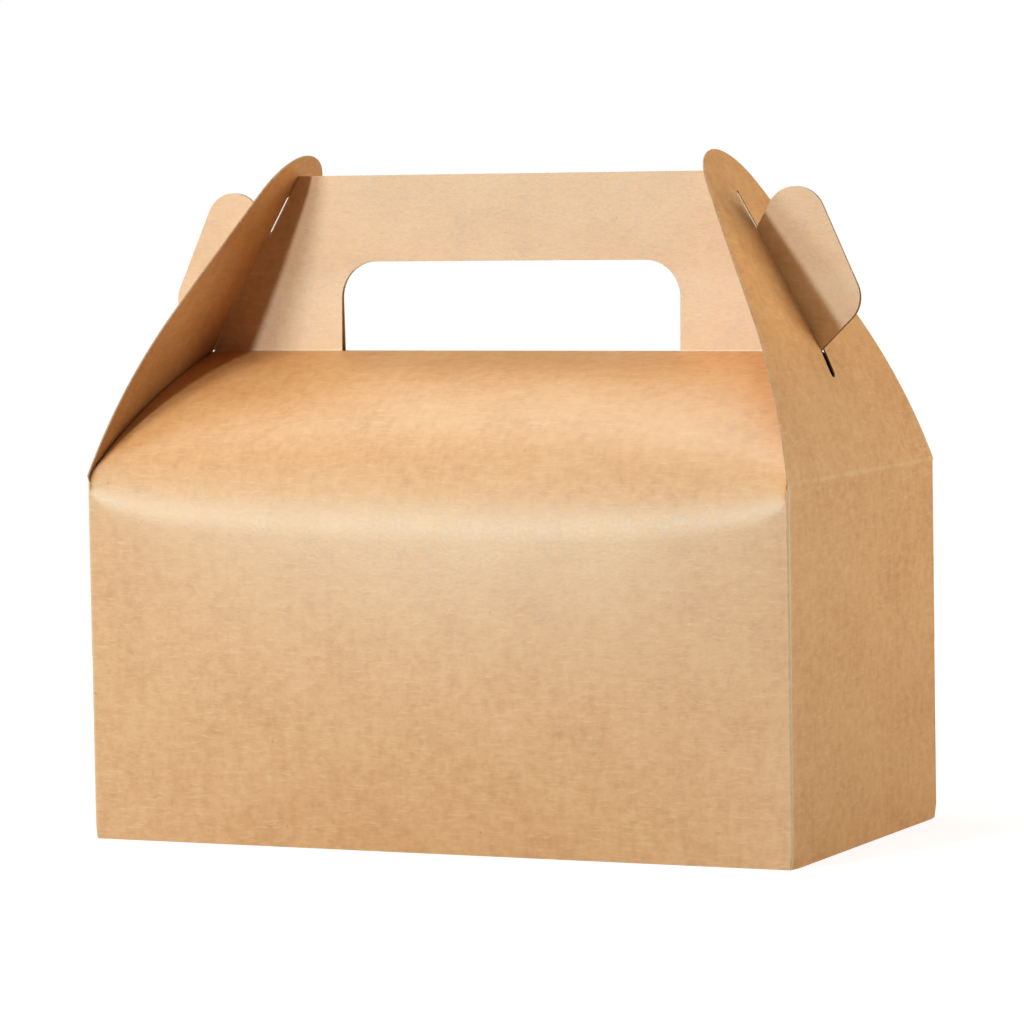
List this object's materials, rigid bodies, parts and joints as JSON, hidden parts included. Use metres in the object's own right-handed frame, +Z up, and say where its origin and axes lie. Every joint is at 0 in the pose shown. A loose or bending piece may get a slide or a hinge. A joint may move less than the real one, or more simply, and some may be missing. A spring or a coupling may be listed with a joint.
{
  "type": "gable box",
  "caption": "Folded kraft board box with a gable roof, a carry handle with a hand hole, and slotted end flaps that hook over the handle's ears.",
  "frame": {"origin": "middle of the bottom, on the surface that the box stands on", "axes": "+X along the box, +Y across it towards the back wall, +Z up"},
  "size_m": [0.241, 0.135, 0.2182],
  "materials": {
    "board": "satin"
  },
  "bodies": {
    "carton": {"carton": "board"},
    "left_flap": {"left_end_flap": "board"},
    "right_flap": {"right_end_flap": "board"}
  },
  "joints": [
    {"name": "left_flap_fold", "type": "hinge", "parent": "carton", "child": "left_flap", "pos_m": [-0.12068, 0, 0.117], "axis": [0, -1, 0], "range_deg": [0, 175]},
    {"name": "right_flap_fold", "type": "hinge", "parent": "carton", "child": "right_flap", "pos_m": [0.12068, 0, 0.117], "axis": [0, 1, 0], "range_deg": [0, 175]}
  ]
}
